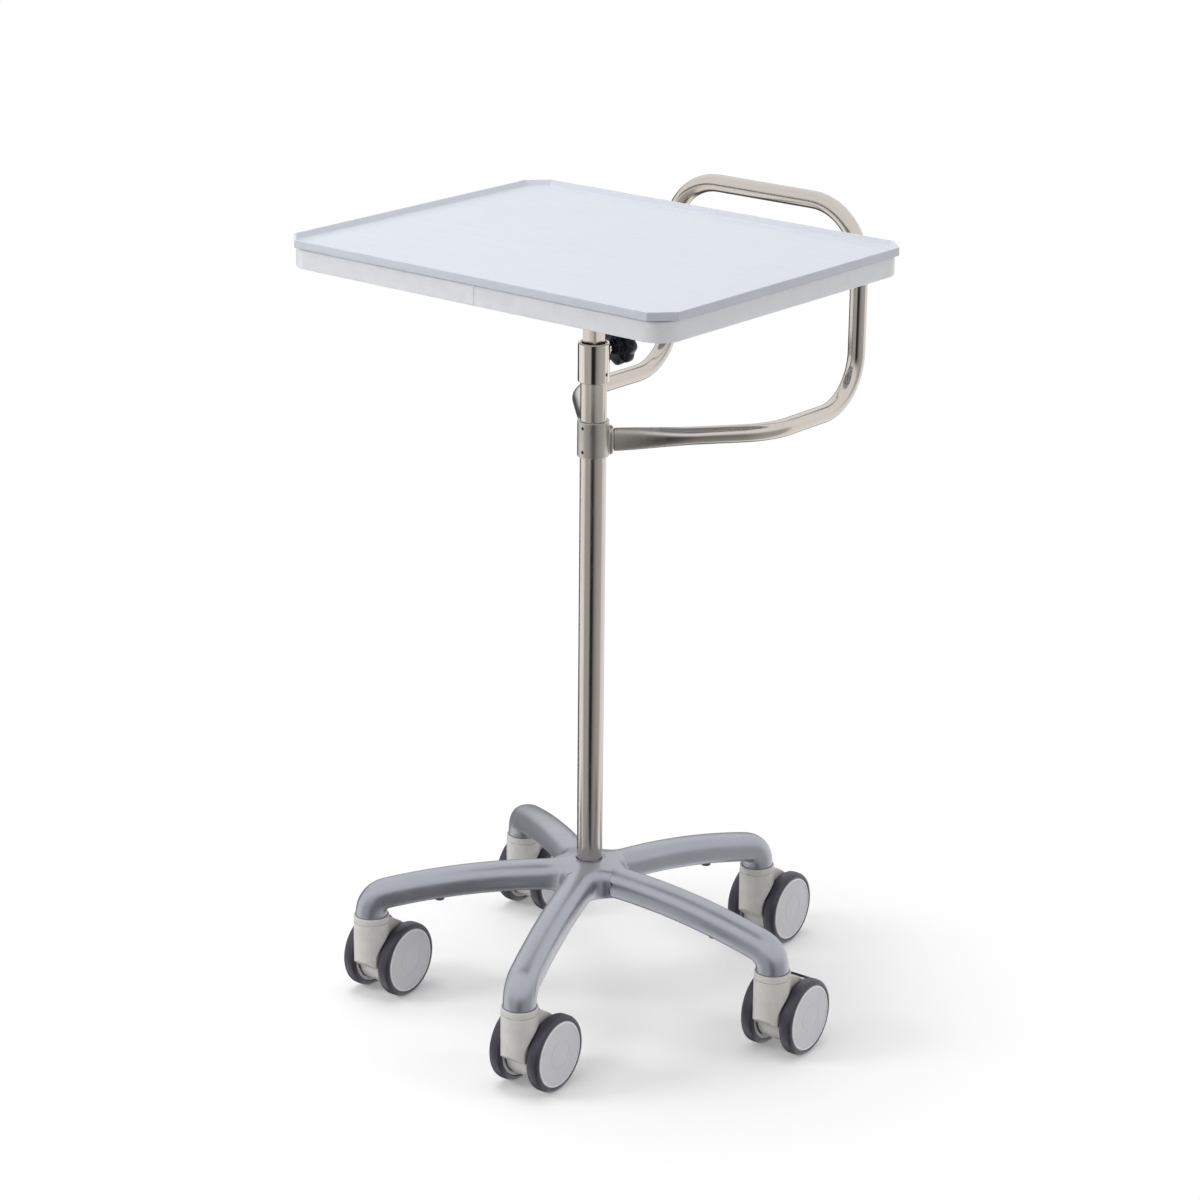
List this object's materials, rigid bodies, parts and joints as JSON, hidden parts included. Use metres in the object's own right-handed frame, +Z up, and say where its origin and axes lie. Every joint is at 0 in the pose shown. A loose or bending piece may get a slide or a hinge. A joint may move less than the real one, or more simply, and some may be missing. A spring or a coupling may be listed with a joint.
{
  "type": "procedure cart",
  "caption": "Height-adjustable procedure cart: shallow tray on a telescopic mast with a clamp knob, tubular push handle and a star base on twin-wheel casters.",
  "frame": {"origin": "on the floor, on the mast's axis", "axes": "+X along the tray's long side, +Y towards the push handle, +Z up"},
  "size_m": [0.6056, 0.6321, 1.008],
  "materials": {
    "tray_white": "satin moulded top",
    "skirt_grey": "satin powder coat",
    "stainless": "polished tube with fine lengthwise brushing",
    "polished_collar": "polished",
    "satin_collar": "satin",
    "zinc_steel": "zinc plated",
    "black_oxide": "black oxide",
    "guide_plastic": "moulded nylon",
    "pad_brass": "turned",
    "knob_black": "gloss",
    "base_silver": "silver lacquer on die casting",
    "caster_grey": "moulded, fine grain",
    "wheel_cap": "moulded, satin",
    "tyre_grey": "soft tread",
    "pedal_black": "moulded"
  },
  "bodies": {
    "base": {"base_casting": "base_silver", "mast_tube": "stainless", "mast_bush": "guide_plastic", "mast_plug": "zinc_steel", "mast_washer": "zinc_steel", "mast_bolt": "zinc_steel", "hub_cover": "guide_plastic", "arm_plugs": "guide_plastic", "caster_stems": "zinc_steel", "swivel_rings": "caster_grey", "swivel_bearings": "zinc_steel", "clamp_collar": "polished_collar", "grub_screws": "black_oxide", "handle_collar": "satin_collar", "handle_tube": "stainless"},
    "tray": {"tray_top": "tray_white", "tray_skirt": "skirt_grey", "tray_rails": "zinc_steel", "mount_plate": "zinc_steel", "mount_bolts": "zinc_steel", "mount_nuts": "zinc_steel", "inner_column": "stainless", "column_guide": "guide_plastic"},
    "clamp_pad": {"clamp_pad": "pad_brass"},
    "clamp_knob": {"clamp_knob": "knob_black", "clamp_stud": "zinc_steel"},
    "caster_right": {"caster_right_housing": "caster_grey", "caster_right_axle": "zinc_steel", "brake_pin": "zinc_steel"},
    "caster_right_wheel_1": {"caster_right_wheel_1": "wheel_cap", "caster_right_tyre_1": "tyre_grey"},
    "caster_right_wheel_2": {"caster_right_wheel_2": "wheel_cap", "caster_right_tyre_2": "tyre_grey"},
    "caster_rear_right": {"caster_rear_right_housing": "caster_grey", "caster_rear_right_axle": "zinc_steel"},
    "caster_rear_right_wheel_1": {"caster_rear_right_wheel_1": "wheel_cap", "caster_rear_right_tyre_1": "tyre_grey"},
    "caster_rear_right_wheel_2": {"caster_rear_right_wheel_2": "wheel_cap", "caster_rear_right_tyre_2": "tyre_grey"},
    "caster_rear_left": {"caster_rear_left_housing": "caster_grey", "caster_rear_left_axle": "zinc_steel"},
    "caster_rear_left_wheel_1": {"caster_rear_left_wheel_1": "wheel_cap", "caster_rear_left_tyre_1": "tyre_grey"},
    "caster_rear_left_wheel_2": {"caster_rear_left_wheel_2": "wheel_cap", "caster_rear_left_tyre_2": "tyre_grey"},
    "caster_front_left": {"caster_front_left_housing": "caster_grey", "caster_front_left_axle": "zinc_steel"},
    "caster_front_left_wheel_1": {"caster_front_left_wheel_1": "wheel_cap", "caster_front_left_tyre_1": "tyre_grey"},
    "caster_front_left_wheel_2": {"caster_front_left_wheel_2": "wheel_cap", "caster_front_left_tyre_2": "tyre_grey"},
    "caster_front_right": {"caster_front_right_housing": "caster_grey", "caster_front_right_axle": "zinc_steel"},
    "caster_front_right_wheel_1": {"caster_front_right_wheel_1": "wheel_cap", "caster_front_right_tyre_1": "tyre_grey"},
    "caster_front_right_wheel_2": {"caster_front_right_wheel_2": "wheel_cap", "caster_front_right_tyre_2": "tyre_grey"},
    "brake_pedal": {"brake_pedal": "pedal_black"}
  },
  "joints": [
    {"name": "column_slide", "type": "slide", "parent": "base", "child": "tray", "axis": [0, 0, 1], "range_m": [-0.065, 0.25]},
    {"name": "clamp_travel", "type": "slide", "parent": "base", "child": "clamp_pad", "axis": [0, 1, 0], "range_m": [0, 0.0025]},
    {"name": "clamp_knob_turn", "type": "hinge", "parent": "clamp_pad", "child": "clamp_knob", "pos_m": [0, 0.03, 0.8545], "axis": [0, -1, 0], "range_deg": [0, 720]},
    {"name": "caster_right_swivel", "type": "hinge", "parent": "base", "child": "caster_right", "pos_m": [0.27624, 0.02053, 0.1], "axis": [0, 0, 1], "continuous": true},
    {"name": "caster_right_wheel_1_spin", "type": "hinge", "parent": "caster_right", "child": "caster_right_wheel_1", "pos_m": [0.27379, 0.05344, 0.0485], "axis": [0.9973, 0.0741, 0], "continuous": true},
    {"name": "caster_right_wheel_2_spin", "type": "hinge", "parent": "caster_right", "child": "caster_right_wheel_2", "pos_m": [0.27379, 0.05344, 0.0485], "axis": [0.9973, 0.0741, 0], "continuous": true},
    {"name": "caster_rear_right_swivel", "type": "hinge", "parent": "base", "child": "caster_rear_right", "pos_m": [0.06584, 0.26906, 0.1], "axis": [0, 0, 1], "continuous": true},
    {"name": "caster_rear_right_wheel_1_spin", "type": "hinge", "parent": "caster_rear_right", "child": "caster_rear_right_wheel_1", "pos_m": [0.06339, 0.30197, 0.0485], "axis": [0.9973, 0.0741, 0], "continuous": true},
    {"name": "caster_rear_right_wheel_2_spin", "type": "hinge", "parent": "caster_rear_right", "child": "caster_rear_right_wheel_2", "pos_m": [0.06339, 0.30197, 0.0485], "axis": [0.9973, 0.0741, 0], "continuous": true},
    {"name": "caster_rear_left_swivel", "type": "hinge", "parent": "base", "child": "caster_rear_left", "pos_m": [-0.23555, 0.14576, 0.1], "axis": [0, 0, 1], "continuous": true},
    {"name": "caster_rear_left_wheel_1_spin", "type": "hinge", "parent": "caster_rear_left", "child": "caster_rear_left_wheel_1", "pos_m": [-0.23799, 0.17867, 0.0485], "axis": [0.9973, 0.0741, 0], "continuous": true},
    {"name": "caster_rear_left_wheel_2_spin", "type": "hinge", "parent": "caster_rear_left", "child": "caster_rear_left_wheel_2", "pos_m": [-0.23799, 0.17867, 0.0485], "axis": [0.9973, 0.0741, 0], "continuous": true},
    {"name": "caster_front_left_swivel", "type": "hinge", "parent": "base", "child": "caster_front_left", "pos_m": [-0.21141, -0.17898, 0.1], "axis": [0, 0, 1], "continuous": true},
    {"name": "caster_front_left_wheel_1_spin", "type": "hinge", "parent": "caster_front_left", "child": "caster_front_left_wheel_1", "pos_m": [-0.21386, -0.14607, 0.0485], "axis": [0.9973, 0.0741, 0], "continuous": true},
    {"name": "caster_front_left_wheel_2_spin", "type": "hinge", "parent": "caster_front_left", "child": "caster_front_left_wheel_2", "pos_m": [-0.21386, -0.14607, 0.0485], "axis": [0.9973, 0.0741, 0], "continuous": true},
    {"name": "caster_front_right_swivel", "type": "hinge", "parent": "base", "child": "caster_front_right", "pos_m": [0.10489, -0.25638, 0.1], "axis": [0, 0, 1], "continuous": true},
    {"name": "caster_front_right_wheel_1_spin", "type": "hinge", "parent": "caster_front_right", "child": "caster_front_right_wheel_1", "pos_m": [0.10244, -0.22346, 0.0485], "axis": [0.9973, 0.0741, 0], "continuous": true},
    {"name": "caster_front_right_wheel_2_spin", "type": "hinge", "parent": "caster_front_right", "child": "caster_front_right_wheel_2", "pos_m": [0.10244, -0.22346, 0.0485], "axis": [0.9973, 0.0741, 0], "continuous": true},
    {"name": "brake_pedal_tilt", "type": "hinge", "parent": "caster_right", "child": "brake_pedal", "pos_m": [0.2731, 0.06271, 0.0825], "axis": [-0.9973, -0.0741, 0], "range_deg": [0, 12]}
  ],
  "couplings": [
    {"joint": "clamp_knob_turn", "follows": "clamp_travel", "rad_per_m": 5026.6}
  ]
}
